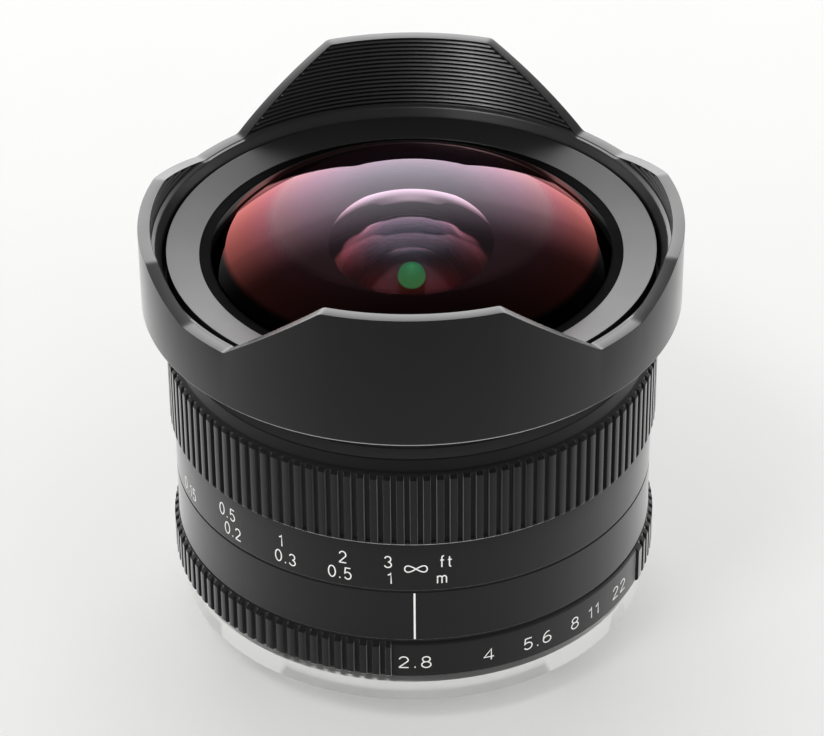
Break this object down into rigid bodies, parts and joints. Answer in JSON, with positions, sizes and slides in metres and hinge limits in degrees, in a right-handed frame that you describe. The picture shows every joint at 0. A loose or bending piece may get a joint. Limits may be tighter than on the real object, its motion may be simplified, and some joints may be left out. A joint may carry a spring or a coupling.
{
  "type": "fisheye lens",
  "caption": "Manual fisheye camera lens with a petal hood, bulging front glass, ribbed focus and aperture rings, a helicoid and a working iris.",
  "frame": {"origin": "centre of the circle on which the bayonet stands, on the optical axis", "axes": "+Z along the optical axis, from the camera towards the front glass; -Y towards the index line"},
  "size_m": [0.0664, 0.0664, 0.0623],
  "materials": {
    "chrome_mount": "bright chrome plate on brass",
    "steel_screws": "plain steel",
    "black_screws": "blackened steel",
    "black_plastic": "matte black",
    "black_anodised": "fine bead-blasted, black anodised",
    "grey_anodised": "satin grey anodised",
    "black_paint": "matte black painted",
    "brass_thread": "turned brass, greased",
    "coated_glass": "polished, multi-coated",
    "blade_steel": "blued spring steel"
  },
  "bodies": {
    "barrel": {"mount_flange": "chrome_mount", "mount_screws": "steel_screws", "rear_baffle": "black_plastic", "main_barrel": "black_anodised", "guide_keys": "brass_thread", "key_screws": "steel_screws", "index_ring": "black_anodised", "index_screws": "steel_screws", "focus_stop_pin": "black_screws", "nut_retaining_ring": "brass_thread"},
    "aperture_ring": {"aperture_ring": "black_anodised", "aperture_lever": "brass_thread", "lever_screw": "black_screws"},
    "focus_ring": {"focus_grip_ring": "black_anodised", "helicoid_nut": "brass_thread", "grip_screws": "black_screws"},
    "optical_unit": {"helicoid_sleeve": "black_paint", "front_barrel": "black_anodised", "neck_screws": "steel_screws", "hood": "black_anodised", "name_ring": "grey_anodised", "glass_bezel": "black_paint", "front_cell": "black_paint", "cell_screws": "steel_screws", "cell_retaining_ring": "black_paint", "rear_cell": "black_paint", "rear_retaining_ring": "black_paint", "stack_screws": "steel_screws", "front_glass": "coated_glass", "second_glass": "coated_glass", "third_glass": "coated_glass", "fourth_glass": "coated_glass", "fifth_glass": "coated_glass", "sixth_glass": "coated_glass", "seventh_glass": "coated_glass", "eighth_glass": "coated_glass", "ninth_glass": "coated_glass", "tenth_glass": "coated_glass", "eleventh_glass": "coated_glass", "second_glass_spacer": "black_paint", "third_glass_spacer": "black_paint", "fifth_glass_spacer": "black_paint", "seventh_glass_spacer": "black_paint", "ninth_glass_spacer": "black_paint", "tenth_glass_spacer": "black_paint", "iris_cup": "black_paint", "iris_cover": "black_paint"},
    "iris_cam": {"iris_cam_ring": "blade_steel"},
    "blade_1": {"iris_blade_1": "blade_steel"},
    "blade_2": {"iris_blade_2": "blade_steel"},
    "blade_3": {"iris_blade_3": "blade_steel"},
    "blade_4": {"iris_blade_4": "blade_steel"},
    "blade_5": {"iris_blade_5": "blade_steel"},
    "blade_6": {"iris_blade_6": "blade_steel"}
  },
  "joints": [
    {"name": "focus_turn", "type": "hinge", "parent": "barrel", "child": "focus_ring", "pos_m": [0, 0, 0.03], "axis": [0, 0, 1], "range_deg": [0, 90.01]},
    {"name": "focus_travel", "type": "slide", "parent": "barrel", "child": "optical_unit", "axis": [0, 0, 1], "range_m": [0, 0.0006]},
    {"name": "aperture_turn", "type": "hinge", "parent": "barrel", "child": "aperture_ring", "pos_m": [0, 0, 0.011], "axis": [0, 0, 1], "range_deg": [-60, 0]},
    {"name": "iris_cam_turn", "type": "hinge", "parent": "optical_unit", "child": "iris_cam", "pos_m": [0, 0, 0.027], "axis": [0, 0, 1], "range_deg": [-60, 0]},
    {"name": "blade_1_turn", "type": "hinge", "parent": "optical_unit", "child": "blade_1", "pos_m": [0.0105, 0, 0.0253], "axis": [0, 0, 1], "range_deg": [0, 21.14]},
    {"name": "blade_2_turn", "type": "hinge", "parent": "optical_unit", "child": "blade_2", "pos_m": [0.00525, 0.00909, 0.0253], "axis": [0, 0, 1], "range_deg": [0, 21.14]},
    {"name": "blade_3_turn", "type": "hinge", "parent": "optical_unit", "child": "blade_3", "pos_m": [-0.00525, 0.00909, 0.0253], "axis": [0, 0, 1], "range_deg": [0, 21.14]},
    {"name": "blade_4_turn", "type": "hinge", "parent": "optical_unit", "child": "blade_4", "pos_m": [-0.0105, 0, 0.0253], "axis": [0, 0, 1], "range_deg": [0, 21.14]},
    {"name": "blade_5_turn", "type": "hinge", "parent": "optical_unit", "child": "blade_5", "pos_m": [-0.00525, -0.00909, 0.0253], "axis": [0, 0, 1], "range_deg": [0, 21.14]},
    {"name": "blade_6_turn", "type": "hinge", "parent": "optical_unit", "child": "blade_6", "pos_m": [0.00525, -0.00909, 0.0253], "axis": [0, 0, 1], "range_deg": [0, 21.14]}
  ],
  "couplings": [
    {"joint": "focus_turn", "follows": "focus_travel", "rad_per_m": 2618},
    {"joint": "iris_cam_turn", "follows": "aperture_turn", "ratio": 1},
    {"joint": "blade_1_turn", "follows": "aperture_turn", "ratio": -0.35213},
    {"joint": "blade_2_turn", "follows": "aperture_turn", "ratio": -0.35213},
    {"joint": "blade_3_turn", "follows": "aperture_turn", "ratio": -0.35213},
    {"joint": "blade_4_turn", "follows": "aperture_turn", "ratio": -0.35213},
    {"joint": "blade_5_turn", "follows": "aperture_turn", "ratio": -0.35213},
    {"joint": "blade_6_turn", "follows": "aperture_turn", "ratio": -0.35213}
  ]
}
